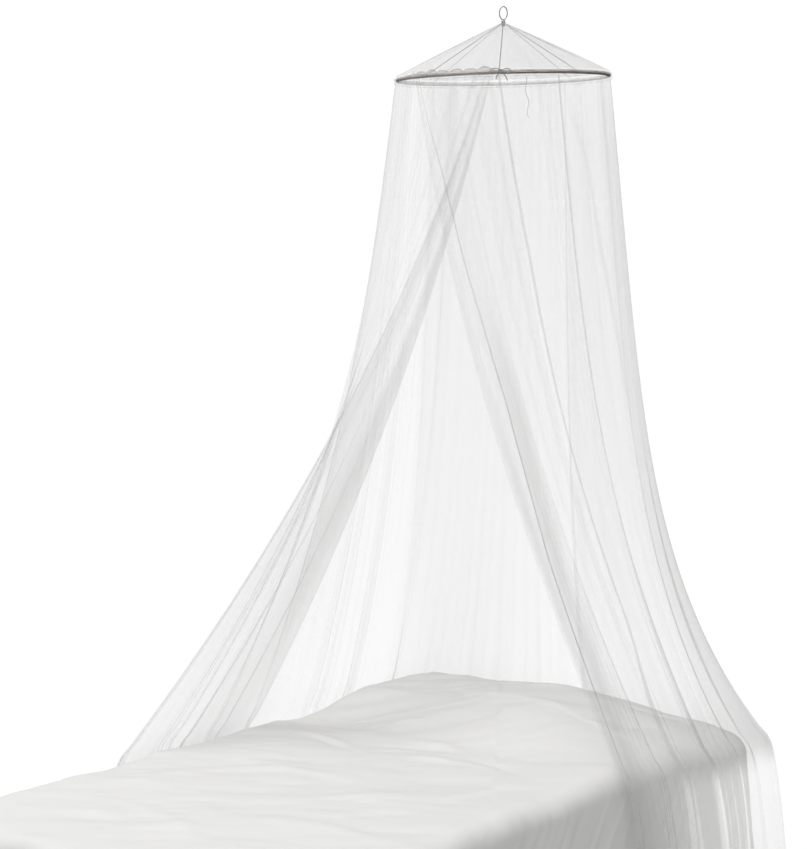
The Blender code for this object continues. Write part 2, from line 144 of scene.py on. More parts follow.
RIGHT_PANEL = (
    (0.00, 143.6, 0.3055, -0.006, 0.430, 0.60, 3.5, 0.30),
    (0.10, 118.0, 0.3050, 0.370, 0.455, 0.58, 4.2, 0.90),
    (0.18, 95.0, 0.3040, 0.645, 0.425, 0.58, 5.0, 0.60),
    (0.30, 66.0, 0.3020, 0.636, 0.265, 0.56, 4.5, 0.90),
    (0.42, 42.0, 0.2990, 0.624, 0.170, 0.56, 3.5, 1.00),
    (0.58, 2.0, 0.2940, 0.602, 0.030, 0.55, 2.4, 0.90),
    (0.74, -30.0, 0.2900, 0.592, -0.070, 0.48, 2.1, 0.50),
    (0.90, -52.0, 0.2890, 0.583, -0.185, 0.36, 2.0, 0.10),
    (1.00, -57.0, 0.2890, 0.580, -0.215, 0.49, 2.0, 0.05),
)

# Direction in degrees and radius of each cord that carries the hoop.
HANGERS = (
    ("hanger_cord_front", -2.0, 0.0016),
    ("hanger_cord_front_left", -43.0, 0.0012),
    ("hanger_cord_front_right", 42.0, 0.0012),
    ("hanger_cord_back_left", -137.0, 0.0009),
    ("hanger_cord_back_right", 138.0, 0.0009),
)
# The tie's tail: across, towards the doorway and above the hoop.
TIE_TAIL_ROUTE = (
    (0.0640, 0.2790, -0.0100), (0.0640, 0.2770, -0.0220), (0.0625, 0.2750, -0.0360),
    (0.0595, 0.2750, -0.0500), (0.0645, 0.2755, -0.0620), (0.0705, 0.2760, -0.0740),
    (0.0710, 0.2765, -0.0870), (0.0665, 0.2770, -0.0990), (0.0650, 0.2775, -0.1110),
    (0.0690, 0.2775, -0.1220), (0.0745, 0.2775, -0.1180),
)
# Where the main folds of the right panel run: falls, then shares of the panel's width.
OVERLAP_FOLD = ((0.0, 0.04, 0.09, 0.14, 0.20, 0.27, 0.36, 0.45, 0.53, 0.65, 0.76, 1.0),
                (0.925, 0.907, 0.880, 0.870, 0.866, 0.846, 0.834, 0.858, 0.892, 0.900, 0.915, 0.915))
MIDDLE_FOLD = ((0.0, 0.20, 0.45, 0.60, 0.70, 1.0), (0.595, 0.576, 0.570, 0.568, 0.600, 0.610))
SIDE_FOLD = ((0.0, 0.12, 0.30, 0.50, 1.0), (0.440, 0.400, 0.355, 0.325, 0.310))
BESIDE_BY = 0.058
BESIDE_FOLD = (OVERLAP_FOLD[0], tuple(share - BESIDE_BY for share in OVERLAP_FOLD[1]))
# Middle x and y, direction in degrees, half length, half width and height of each crease.
COVER_CREASES = (
    (-0.30, -0.20, 35.0, 0.09, 0.016, 0.006), (-0.24, -0.25, 55.0, 0.06, 0.012, -0.005),
    (-0.20, -0.22, 25.0, 0.07, 0.012, 0.005), (-0.40, -0.36, 15.0, 0.12, 0.018, 0.005),
    (-0.30, -0.44, 5.0, 0.10, 0.014, 0.006), (-0.22, -0.47, -8.0, 0.09, 0.012, -0.004),
    (-0.02, -0.36, 20.0, 0.10, 0.014, -0.005), (0.02, -0.31, 5.0, 0.09, 0.018, 0.006),
    (0.14, -0.40, 12.0, 0.12, 0.018, 0.006), (0.28, -0.36, -10.0, 0.08, 0.014, -0.004),
    (-0.10, -0.74, 20.0, 0.16, 0.026, 0.005), (0.18, -0.80, 40.0, 0.14, 0.024, 0.005),
    (-0.34, -0.95, 65.0, 0.16, 0.026, 0.004), (0.26, -1.05, 15.0, 0.16, 0.026, 0.005),
    (-0.08, -1.25, -15.0, 0.18, 0.028, 0.005), (0.12, 0.00, 10.0, 0.12, 0.020, 0.005),
    (-0.16, 0.02, -35.0, 0.10, 0.018, -0.004), (0.30, -0.05, 55.0, 0.12, 0.018, 0.005),
    (0.36, -0.60, 75.0, 0.12, 0.020, 0.004), (0.42, 0.10, 65.0, 0.10, 0.016, -0.004),
)


# ---------------------------------------------------------------- settings


class CanopyNetSettings(bpy.types.PropertyGroup):
    # The net's pale thread colour, darkened to grey with painted shade for cloth that light reaches less.
    thread_colour_with_painted_shade: FloatVectorProperty(name="Thread colour", description="Colour of the net's thread",
                                       subtype="COLOR", size=3, default=(0.62, 0.62, 0.615))
    mesh_size: FloatProperty(name="Mesh size", description="Width of one opening of the net",
                             default=0.0016, unit="LENGTH")
    veil: FloatProperty(name="Veil", description="How much one smooth layer hides",
                        default=0.064, min=0.0, max=1.0)
    thread_veil: FloatProperty(name="Thread veil", description="How much more its threads hide",
                               default=0.25, min=0.0, max=1.0)
    columns: IntProperty(name="Columns", description="Columns of a panel's mesh", default=700)
    rows: IntProperty(name="Rows", description="Rows of a panel's mesh", default=84)


class CanopyBedSettings(bpy.types.PropertyGroup):
    cover_colour: FloatVectorProperty(name="Cover colour", description="Colour of the bed cover",
                                      subtype="COLOR", size=3, default=(0.790, 0.786, 0.778))


class CanopyMetalSettings(bpy.types.PropertyGroup):
    hoop_colour: FloatVectorProperty(name="Hoop colour", description="Colour of the hoop",
                                     subtype="COLOR", size=3, default=(0.34, 0.285, 0.255))
    eye_colour: FloatVectorProperty(name="Eye colour", description="Colour of the eye and ferrule",
                                    subtype="COLOR", size=3, default=(0.38, 0.375, 0.37))


class CanopyStageSettings(bpy.types.PropertyGroup):
    lens: FloatProperty(name="Lens", description="Focal length on a 36 mm sensor", default=85.26)
    distance: FloatProperty(name="Distance", description="From camera to the hoop's axis", default=5.8,
                            unit="LENGTH")


# ---------------------------------------------------------------- geometry helpers


def around(direction_deg, radius):
    """Places at these directions and distances from the hoop's axis, as two arrays."""
    angle = np.radians(direction_deg)
    across, towards = radius * np.sin(angle), radius * np.cos(angle)
    return to_row(across, towards)


def to_row(across, towards):
    """From distances across and towards the doorway to x and y."""
    x = across * math.cos(DOOR_TURN) + towards * math.sin(DOOR_TURN)
    y = across * math.sin(DOOR_TURN) - towards * math.cos(DOOR_TURN)
    return x, y


def hoop_height(x, y):
    """Height of the slightly tilted hoop's middle at a place."""
    across = x * math.cos(DOOR_TURN) + y * math.sin(DOOR_TURN)
    return HOOP_Z + HOOP_DROP_LEFT * across / HOOP_RADIUS


def ease(value):
    """Smooth step from 0 to 1."""
    value = np.clip(value, 0.0, 1.0)
    return value * value * (3.0 - 2.0 * value)


def soft_field(x, y, seed):
    """Smooth random heights between -1 and 1, one hump to a unit of x and of y."""
    heights = np.random.default_rng(seed).uniform(-1.0, 1.0, (97, 97))
    x, y = np.broadcast_arrays(x, y)
    left, low = np.floor(x).astype(int), np.floor(y).astype(int)
    across, along = ease(x - left), ease(y - low)
    left, low = left % 96, low % 96
    near = heights[left, low] * (1 - across) + heights[left + 1, low] * across
    far = heights[left, low + 1] * (1 - across) + heights[left + 1, low + 1] * across
    return near * (1 - along) + far * along


def streaks(draw, u, v, count, narrow, wide, strong):
    """Lengthwise bands of gathered cloth, crisp along one side and fading away on the other."""
    total = 0.0 * u + 0.0 * v
    for middle in (np.arange(count) + draw.uniform(0.0, 1.0, count)) / count:
        width = draw.uniform(narrow, wide)
        side = 1.0 if draw.uniform() < 0.5 else -1.0
        x = side * (u - middle - draw.uniform(-0.012, 0.012) * v)
        profile = np.where(x > 0, np.exp(-x / width), np.exp(x / (0.14 * width)))
        turn = 2 * np.pi * (v * draw.uniform(0.3, 1.0) + draw.uniform())
        fade = np.clip(0.5 + 0.9 * np.sin(turn), 0.0, 1.3)
        total = total + strong * draw.uniform(0.3, 1.0) * fade * profile
    return total


def deselect():
    """Leave nothing selected before a piece is added."""
    for old in bpy.context.selected_objects:
        old.select_set(False)


def grid_piece(name, columns, rows, places, across_m, along_m):
    """A sheet whose vertices take these places, an array of rows by columns by three.

    Its UV map lays the cloth out flat in metres."""
    deselect()
    bpy.ops.mesh.primitive_grid_add(x_subdivisions=columns, y_subdivisions=rows, size=2.0)
    made = bpy.context.object
    made.name = made.data.name = name
    mesh = made.data
    flat = np.empty(len(mesh.vertices) * 3, np.float32)
    mesh.vertices.foreach_get("co", flat)
    flat = flat.reshape(-1, 3)
    column = np.rint((flat[:, 0] + 1.0) / 2.0 * columns).astype(int)
    row = np.rint((1.0 - flat[:, 1]) / 2.0 * rows).astype(int)
    mesh.vertices.foreach_set("co", places[row, column].astype(np.float32).ravel())
    corners = np.empty(len(mesh.loops), np.int32)
    mesh.loops.foreach_get("vertex_index", corners)
    uv = np.stack([column[corners] / columns * across_m, (1.0 - row[corners] / rows) * along_m], axis=1)
    layer = mesh.uv_layers[0]
    layer.name = "cloth"
    layer.data.foreach_set("uv", uv.astype(np.float32).ravel())
    mesh.shade_smooth()
    mesh.update()
    return made, row, column


def add_attribute(mesh, name, values):
    """Store one value for each vertex."""
    made = mesh.attributes.new(name, "FLOAT", "POINT")
    made.data.foreach_set("value", values.astype(np.float32))


def finish_piece(piece, finish, replaced):
    """Give a new piece its finish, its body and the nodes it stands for."""
    piece.data.materials.clear()
    piece.data.materials.append(finish)
    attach(piece, "root")
    if replaced:
        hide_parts(*replaced)


def sheet_area(places):
    """Area of a grid of places."""
    a = places[1:, 1:] - places[:-1, :-1]
    b = places[1:, :-1] - places[:-1, 1:]
    return float(np.linalg.norm(np.cross(a, b), axis=2).sum() / 2.0)


# ---------------------------------------------------------------- net panels


def table_curves(table):
    """A panel's table read at many shares, with its corners slightly eased."""
    rows = np.array(table)
    shares = np.linspace(0.0, 1.0, 1201)
    reach = 14
    weights = np.exp(-0.5 * (np.arange(-reach, reach + 1) / 5.0) ** 2)
    weights /= weights.sum()
    curves = {}
    for k, name in enumerate(PANEL_COLUMNS[1:], start=1):
        plain = np.interp(shares, rows[:, 0], rows[:, k])
        before = 2 * plain[0] - plain[reach:0:-1]
        after = 2 * plain[-1] - plain[-2:-reach - 2:-1]
        padded = np.concatenate([before, plain, after])
        curves[name] = np.convolve(padded, weights, mode="valid")
    return shares, curves


def hang(curves_at, share, fall):
    """Places of the smooth panel for arrays of shares and falls, with the depth of folds there."""
    shares, curves = curves_at
    read = {name: np.interp(share, shares, curve) for name, curve in curves.items()}
    top_x, top_y = around(read["direction"], read["radius"])
    top_z = hoop_height(top_x, top_y) - NET_TOP_BELOW_HOOP
    down = np.clip(fall / EDGE_SHARE, 0.0, 1.0)
    out = (1.0 - read["sag"]) * down + read["sag"] * down ** read["lateness"]
    below = np.clip((fall - EDGE_SHARE) / (1.0 - EDGE_SHARE), 0.0, 1.0)
    away_x, away_y = read["edge_x"], read["edge_y"] - FLARE_FROM_Y
    away = np.hypot(away_x, away_y)
    flare = HEM_FLARE * np.sqrt(below)
    x = top_x + (read["edge_x"] - top_x) * out + away_x / away * flare
    y = top_y + (read["edge_y"] - top_y) * out + away_y / away * flare * HEM_FLARE_LENGTHWISE
    z = top_z + (EDGE_Z - top_z) * down + (NET_HEM_Z - EDGE_Z) * below
    depth = read["depth"] * (0.06 + 0.94 * ease(out * 1.3))
    return np.stack([x, y, z], axis=-1), depth


def straight(at_top, at_hem):
    """A fold or band that runs straight down: its falls and its shares."""
    return (0.0, 1.0), (at_top, at_hem)


def layered_folds(draw, count, low, high):
    """Folds spread unevenly over a panel, some wide enough that the cloth doubles back over itself."""
    made = []
    for middle in low + (high - low) * (np.arange(count) + draw.uniform(0.0, 1.0, count)) / count:
        route = ((0.0, 1.0), (middle, middle + draw.uniform(-0.03, 0.03)))
        made.append((route, draw.uniform(0.016, 0.042), draw.uniform(0.5, 1.7),
                     draw.uniform(0.3, 1.0), draw.uniform(0.3, 1.0)))
    return made


def net_panel(name, table, seed, folds, bands, painted_light, phase, settings):
    """One hanging panel: folds move the cloth sideways and lift it, bands only make it denser, and painted
    light can make it glow below the bed's edge.
    """
    columns, rows = settings.columns, settings.rows
    draw = np.random.default_rng(seed)
    u = np.linspace(0.0, 1.0, columns + 1)[None, :]
    v = np.linspace(0.0, 1.0, rows + 1)[:, None]
    share = u + 0.0 * v
    lift = 0.0 * share
    edge_calm = ease(u / 0.03) * ease((1.0 - u) / 0.03)
    for route, width, strength, at_top, at_hem in folds + layered_folds(draw, 13, 0.17, 0.80):
        x = (u - np.interp(v, *route)) / width
        here = strength * (at_top + (at_hem - at_top) * v) * np.exp(-x * x)
        share = share - here * x * width * edge_calm
        lift = lift + 0.25 * here * width * (1.0 + v)
    for waves, ratio, depth in ((37, 0.30, 0.0048), (83, 0.24, 0.0011)):
        start = draw.uniform(0.0, 6.28)
        wander = 1.6 * np.sin(2 * np.pi * (2.3 * u + draw.uniform()))
        wander = wander + 0.6 * np.sin(2 * np.pi * (0.7 * v + 1.9 * u))
        swell = 0.65 + 0.35 * np.sin(2 * np.pi * (3.1 * u + draw.uniform()) + 1.1 * v)
        turn = 2 * np.pi * waves * u + wander + start
        share = share - ratio * swell * np.sin(2.0 * turn) / (4 * np.pi * waves) * edge_calm
        lift = lift + depth * swell * np.sin(turn) * (0.6 + v)
    share = np.clip(share, 0.0, 1.0)
    fall = v + 0.0 * share
    curves = table_curves(table)
    smooth, depth = hang(curves, share, fall)
    step = 0.004
    before = hang(curves, np.clip(share - step, 0, 1), fall)[0]
    after = hang(curves, np.clip(share + step, 0, 1), fall)[0]
    along = after - before
    along[..., 2] = 0.0
    size = np.linalg.norm(along, axis=2)
    outward = np.stack([-along[..., 1], along[..., 0]], axis=2) / np.maximum(size, 1e-6)[..., None]
    main = fold_wave(share, phase)
    below = np.clip((fall - EDGE_SHARE) / (1.0 - EDGE_SHARE), 0.0, 1.0)
    offset = depth * (FOLD_DEPTH + HEM_FOLD_DEPTH * below) * main + lift * np.maximum(depth, 0.15)
    places = smooth.copy()
    places[..., 0] += outward[..., 0] * offset
    places[..., 1] += outward[..., 1] * offset
    spread = np.abs(np.gradient(share, axis=1)) * columns
    dense = np.clip(1.0 / np.maximum(spread, 0.2), 0.70, 1.45)
    wide_bands = streaks(draw, u, v, 34, 0.008, 0.036, 0.80)
    fine_bands = streaks(draw, u, v, 44, 0.002, 0.008, 0.26)
    dense = dense * (0.62 + wide_bands + fine_bands)
    dense = dense * (0.86 + 0.20 * (1.0 - v) ** 2)
    for route, width, strength, from_fall, to_fall in bands:
        present = ease((v - from_fall) / 0.20 + 0.5) * ease((to_fall - v) / 0.06 + 0.5)
        dense = dense + strength * present * np.exp(-((u - np.interp(v, *route)) / width) ** 2)
    # Painted light: a glow below the bed's edge, kept for the net's emission.
    painted_glow = painted_light * ease((v - 0.765) / 0.05) * ease((u - 0.06) / 0.06) * ease((0.74 - u) / 0.14)
    area = sheet_area(places)
    drop = float(np.linalg.norm(np.diff(places[:, columns // 2], axis=0), axis=1).sum())
    hem = float(np.linalg.norm(np.diff(places[-1], axis=0), axis=1).sum())
    made, row, column = grid_piece(name, columns, rows, places, hem, drop)
    add_attribute(made.data, "gather", dense[row, column])
    add_attribute(made.data, "painted_glow_amount", (painted_glow + 0.0 * dense)[row, column])
    return made, (hem, drop), area


def fold_wave(share, phase):
    """The panel's broad uneven waves."""
    turn = 2.0 * np.pi * share
    wander = 0.06 * np.sin(3.0 * turn + phase) + 0.03 * np.sin(7.0 * turn)
    strength = 0.72 + 0.28 * np.sin(2.3 * turn + 2.0 * phase)
    return strength * np.sin(10 * (turn + wander * 2.0) + phase)


# ---------------------------------------------------------------- materials


def new_material(name):
    """A material with its nodes, its links and its shader."""
    made = bpy.data.materials.new(name)
    made.use_nodes = True
    return made, made.node_tree.nodes, made.node_tree.links, made.node_tree.nodes["Principled BSDF"]


def math_node(nodes, links, operation, first, second=None, clamp=False):
    """Add a math node fed by sockets or numbers, and give back its output."""
    made = nodes.new("ShaderNodeMath")
    made.operation = operation
    made.use_clamp = clamp
    for socket, value in zip(made.inputs, (first, second)):
        if value is None:
            continue
        if isinstance(value, (int, float)):
            socket.default_value = value
        else:
            links.new(value, socket)
    return made.outputs[0]


def netting_group():
    """A diamond mesh of thread laid out in metres: puts out where the thread is."""
    tree = bpy.data.node_groups.new("netting", "ShaderNodeTree")
    tree.interface.new_socket("Cloth", in_out="INPUT", socket_type="NodeSocketVector")
    size = tree.interface.new_socket("Mesh size", in_out="INPUT", socket_type="NodeSocketFloat")
    size.default_value = 0.0016
    tree.interface.new_socket("Thread", in_out="OUTPUT", socket_type="NodeSocketFloat")
    nodes, links = tree.nodes, tree.links
    start = nodes.new("NodeGroupInput")
    end = nodes.new("NodeGroupOutput")
    parts = nodes.new("ShaderNodeSeparateXYZ")
    links.new(start.outputs["Cloth"], parts.inputs[0])
    lines = []
    for way in ("ADD", "SUBTRACT"):
        mixed = math_node(nodes, links, way, parts.outputs[0], parts.outputs[1])
        counted = math_node(nodes, links, "DIVIDE", mixed, start.outputs["Mesh size"])
        near = math_node(nodes, links, "PINGPONG", counted, 0.5)
        lines.append(math_node(nodes, links, "LESS_THAN", near, 0.07))
    links.new(math_node(nodes, links, "MAXIMUM", *lines), end.inputs["Thread"])
    return tree


def net_material(name, settings, netting):
    """Sheer net: it hides more where the cloth gathers, and glows a little with painted light through its
    emission.
    """
    made, nodes, links, shader = new_material(name)
    cloth = nodes.new("ShaderNodeUVMap")
    cloth.uv_map = "cloth"
    net = nodes.new("ShaderNodeGroup")
    net.node_tree = netting
    net.inputs["Mesh size"].default_value = settings.mesh_size
    links.new(cloth.outputs[0], net.inputs["Cloth"])
    hides = math_node(nodes, links, "MULTIPLY_ADD", net.outputs["Thread"], settings.thread_veil)
    hides.node.inputs[2].default_value = settings.veil
    passes = math_node(nodes, links, "SUBTRACT", 1.0, hides)
    gather = nodes.new("ShaderNodeAttribute")
    gather.attribute_name = "gather"
    layered = math_node(nodes, links, "POWER", passes, gather.outputs["Fac"])
    veil = math_node(nodes, links, "SUBTRACT", 1.0, layered, clamp=True)
    links.new(veil, shader.inputs["Alpha"])
    # Painted light: the kept glow becomes the net's emission colour.
    painted_glow = nodes.new("ShaderNodeAttribute")
    painted_glow.attribute_name = "painted_glow_amount"
    links.new(painted_glow.outputs["Color"], shader.inputs["Emission Color"])
    shader.inputs["Emission Strength"].default_value = 1.0
    # Painted shade: the net's pale thread is given a grey colour.
    shader.inputs["Base Color"].default_value = (*settings.thread_colour_with_painted_shade, 1.0)
    shader.inputs["Roughness"].default_value = 0.75
    return made


def cloth_material(name, colour):
    """Plain woven cotton."""
    made, nodes, links, shader = new_material(name)
    place = nodes.new("ShaderNodeTexCoord")
    noise = nodes.new("ShaderNodeTexNoise")
    noise.inputs["Scale"].default_value = 260.0
    noise.inputs["Detail"].default_value = 4.0
    links.new(place.outputs["Object"], noise.inputs["Vector"])
    bump = nodes.new("ShaderNodeBump")
    bump.inputs["Strength"].default_value = 0.15
    bump.inputs["Distance"].default_value = 0.001
    links.new(noise.outputs["Fac"], bump.inputs["Height"])
    links.new(bump.outputs[0], shader.inputs["Normal"])
    shader.inputs["Base Color"].default_value = (*colour, 1.0)
    shader.inputs["Roughness"].default_value = 0.9
    return made


def metal_material(name, colour, roughness, worn):
    """Drawn wire, with lengthwise streaks where the finish has dulled."""
    made, nodes, links, shader = new_material(name)
    place = nodes.new("ShaderNodeTexCoord")
    stretch = nodes.new("ShaderNodeMapping")
    stretch.inputs["Scale"].default_value = (22.0, 22.0, 420.0)
    links.new(place.outputs["Object"], stretch.inputs["Vector"])
    noise = nodes.new("ShaderNodeTexNoise")
    noise.inputs["Scale"].default_value = 1.0
    noise.inputs["Detail"].default_value = 5.0
    links.new(stretch.outputs[0], noise.inputs["Vector"])
    ramp = nodes.new("ShaderNodeValToRGB")
    dull = [c * (1.0 - worn) for c in colour]
    pale = [min(1.0, c * (1.0 + 1.2 * worn) + 0.05) for c in colour]
    ramp.color_ramp.elements[0].position = 0.38
    ramp.color_ramp.elements[0].color = (*dull, 1.0)
    ramp.color_ramp.elements[1].position = 0.62
    ramp.color_ramp.elements[1].color = (*pale, 1.0)
    links.new(noise.outputs["Fac"], ramp.inputs[0])
    links.new(ramp.outputs[0], shader.inputs["Base Color"])
    rough = math_node(nodes, links, "MULTIPLY_ADD", noise.outputs["Fac"], 0.25)
    rough.node.inputs[2].default_value = roughness - 0.12
    links.new(rough, shader.inputs["Roughness"])
    shader.inputs["Metallic"].default_value = 0.85
    return made


def painted_material(name, colour):
    """Satin paint on wood."""
    made, nodes, links, shader = new_material(name)
    place = nodes.new("ShaderNodeTexCoord")
    noise = nodes.new("ShaderNodeTexNoise")
    noise.inputs["Scale"].default_value = 18.0
    noise.inputs["Detail"].default_value = 6.0
    links.new(place.outputs["Object"], noise.inputs["Vector"])
    bump = nodes.new("ShaderNodeBump")
    bump.inputs["Strength"].default_value = 0.10
    bump.inputs["Distance"].default_value = 0.001
    links.new(noise.outputs["Fac"], bump.inputs["Height"])
    links.new(bump.outputs[0], shader.inputs["Normal"])
    rough = math_node(nodes, links, "MULTIPLY_ADD", noise.outputs["Fac"], 0.2)
    rough.node.inputs[2].default_value = 0.35
    links.new(rough, shader.inputs["Roughness"])
    shader.inputs["Base Color"].default_value = (*colour, 1.0)
    return made


def cord_material(name, colour):
    """Soft twisted cord."""
    made, nodes, links, shader = new_material(name)
    place = nodes.new("ShaderNodeTexCoord")
    fibres = nodes.new("ShaderNodeTexNoise")
    fibres.inputs["Scale"].default_value = 900.0
    fibres.inputs["Detail"].default_value = 3.0
    links.new(place.outputs["Object"], fibres.inputs["Vector"])
    bump = nodes.new("ShaderNodeBump")
    bump.inputs["Strength"].default_value = 0.35
    bump.inputs["Distance"].default_value = 0.0004
    links.new(fibres.outputs["Fac"], bump.inputs["Height"])
    links.new(bump.outputs[0], shader.inputs["Normal"])
    shader.inputs["Base Color"].default_value = (*colour, 1.0)
    shader.inputs["Roughness"].default_value = 0.85
    return made


def dress(node, finish):
    """Give a piece of the solid model its finish."""
    data = bpy.data.objects[node].data
    data.materials.clear()
    data.materials.append(finish)


def twisted(name, start, end, radius, finish):
    """Two strands twisted around each other from start to end, as one mesh."""
    along = end - start
    length = float(np.linalg.norm(along))
    along = along / length
    side = np.cross(along, (0.0, 0.0, 1.0))
    side = side / np.linalg.norm(side)
    other = np.cross(along, side)
    steps, sides = max(40, int(length / 0.0016)), 8
    t = np.linspace(0.0, 1.0, steps + 1)
    places, faces = [], []
    ring = np.linspace(0.0, 2 * np.pi, sides, endpoint=False)
    for strand in (0.0, math.pi):
        turn = 2 * np.pi * length / (radius * 7.0) * t + strand
        middle = start + np.outer(t * length, along)
        arm = np.cos(turn)[:, None] * side + np.sin(turn)[:, None] * other
        middle = middle + arm * radius * 0.48
        first = len(places)
        for k in range(steps + 1):
            for angle in ring:
                places.append(middle[k] + radius * 0.55 * (math.cos(angle) * side + math.sin(angle) * other))
        for k in range(steps):
            for j in range(sides):
                n = (j + 1) % sides
                faces.append((first + k * sides + j, first + k * sides + n,
                              first + (k + 1) * sides + n, first + (k + 1) * sides + j))
        faces.append(tuple(first + j for j in reversed(range(sides))))
        faces.append(tuple(first + steps * sides + j for j in range(sides)))
    mesh = bpy.data.meshes.new(name)
    mesh.from_pydata([tuple(float(c) for c in p) for p in places], [], faces)
    mesh.shade_smooth()
    made = bpy.data.objects.new(name, mesh)
    bpy.context.scene.collection.objects.link(made)
    made.data.materials.append(finish)
    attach(made, "root")
    return made


# ---------------------------------------------------------------- operators


class CANOPY_OT_panels(bpy.types.Operator):
    """Hang the two sheer panels from the hoop over the bed's edges"""

    bl_idname = "canopy.panels"
    bl_label = "Net panels"

    def execute(self, context):
        settings = context.scene.canopy_net
        netting = netting_group()
        sheer = net_material("sheer_net", settings, netting)
        right_folds = [
            (OVERLAP_FOLD, 0.018, 2.0, 0.9, 0.9),
            (MIDDLE_FOLD, 0.014, 2.1, 0.9, 0.9),
        ]
        left_folds = [
            (straight(0.060, 0.066), 0.014, 1.6, 0.6, 1.0),
            (straight(0.032, 0.030), 0.007, 1.5, 0.8, 0.8),
            (straight(0.095, 0.090), 0.007, 1.5, 0.7, 0.9),
        ]
        right_bands = [
            (OVERLAP_FOLD, 0.0036, 3.0, 0.0, 1.0),
            (OVERLAP_FOLD, 0.0110, 3.2, 0.42, 1.0),
            (MIDDLE_FOLD, 0.0020, 2.0, 0.0, 0.9),
            (BESIDE_FOLD, 0.052, 3.6, 0.30, 1.0),
            (SIDE_FOLD, 0.0050, 1.2, 0.05, 0.62),
            (straight(0.85, 0.86), 0.030, 0.7, 0.12, 1.0),
            (straight(0.825, 0.825), 0.016, 1.4, 0.33, 0.55),
            (straight(0.925, 0.945), 0.034, 3.4, 0.40, 1.0),
            (straight(0.960, 0.970), 0.030, 0.9, 0.2, 1.0),
            (straight(0.210, 0.200), 0.028, 2.4, 0.0, 1.0),
            (straight(0.29, 0.28), 0.060, 0.9, 0.0, 1.0),
            (straight(0.05, 0.05), 0.090, 0.9, 0.0, 1.0),
            (straight(0.26, 0.30), 0.200, 3.6, 0.77, 1.2),
            (straight(0.160, 0.165), 0.010, 0.9, 0.1, 0.8),
            (straight(1.0, 1.0), 0.0030, 2.5, -1.0, 2.0),
        ]
        left_bands = [
            (straight(0.120, 0.120), 0.0026, 4.5, 0.0, 1.0),
            (straight(0.114, 0.114), 0.012, 1.8, 0.0, 0.18),
            (straight(0.100, 0.095), 0.022, 0.8, 0.0, 1.0),
            (straight(0.018, 0.022), 0.018, 1.9, 0.0, 0.95),
            (straight(0.030, 0.042), 0.026, 1.9, 0.36, 1.2),
            (straight(0.0, 0.0), 0.0030, 2.5, -1.0, 2.0),
            (straight(0.540, 0.500), 0.045, 0.9, 0.0, 0.8),
            (straight(0.86, 0.86), 0.140, 1.1, 0.0, 1.0),
        ]
        # The right panel gets painted light where it hangs beside the bed's side.
        for name, table, seed, folds, bands, painted_light, phase in (
            ("net_panel_left_cloth", LEFT_PANEL, 11, left_folds, left_bands, 0.0, 0.7),
            ("net_panel_right_cloth", RIGHT_PANEL, 23, right_folds, right_bands, SIDE_PAINTED_LIGHT, 2.1),
        ):
            made, flat, area = net_panel(name, table, seed, folds, bands, painted_light, phase, settings)
            finish_piece(made, sheer, [name.replace("_cloth", "")])
        return {"FINISHED"}


class CANOPY_OT_cone(bpy.types.Operator):
    """Stretch the cone of net from the ferrule to the hoop"""

    bl_idname = "canopy.cone"
    bl_label = "Net cone"

    def execute(self, context):
        settings = context.scene.canopy_net
        sheer = net_material("sheer_cone", settings, bpy.data.node_groups["netting"])
        columns, rows = 480, 24
        u = np.linspace(0.0, 1.0, columns + 1)[None, :]
        v = np.linspace(0.0, 1.0, rows + 1)[:, None]
        direction = 360.0 * u + 0.0 * v
        radius = CONE_TOP_RADIUS + (CONE_FOOT_RADIUS - CONE_TOP_RADIUS) * v + 0.0 * u
        x, y = around(direction, radius)
        hoop_x, hoop_y = around(direction, HOOP_RADIUS)
        foot = hoop_height(hoop_x, hoop_y) + CONE_FOOT_ABOVE_HOOP
        ripple = 0.0016 * np.sin(np.radians(15 * direction))
        ripple = ripple + 0.0008 * np.sin(np.radians(61 * direction) + 1.0)
        z = CONE_TOP_Z + (foot - CONE_TOP_Z) * v + 4.0 * v * (1.0 - v) * ripple
        places = np.stack([x, y, z], axis=-1)
        made, row, column = grid_piece("cone_net_cloth", columns, rows, places, *CONE_FLAT)
        draw = np.random.default_rng(5)
        fine = 1.7 + streaks(draw, u, v, 34, 0.004, 0.02, 0.9) + 1.6 * np.exp(-v / 0.10)
        add_attribute(made.data, "gather", fine[row, column])
        finish_piece(made, sheer, ["cone_net"])
        return {"FINISHED"}


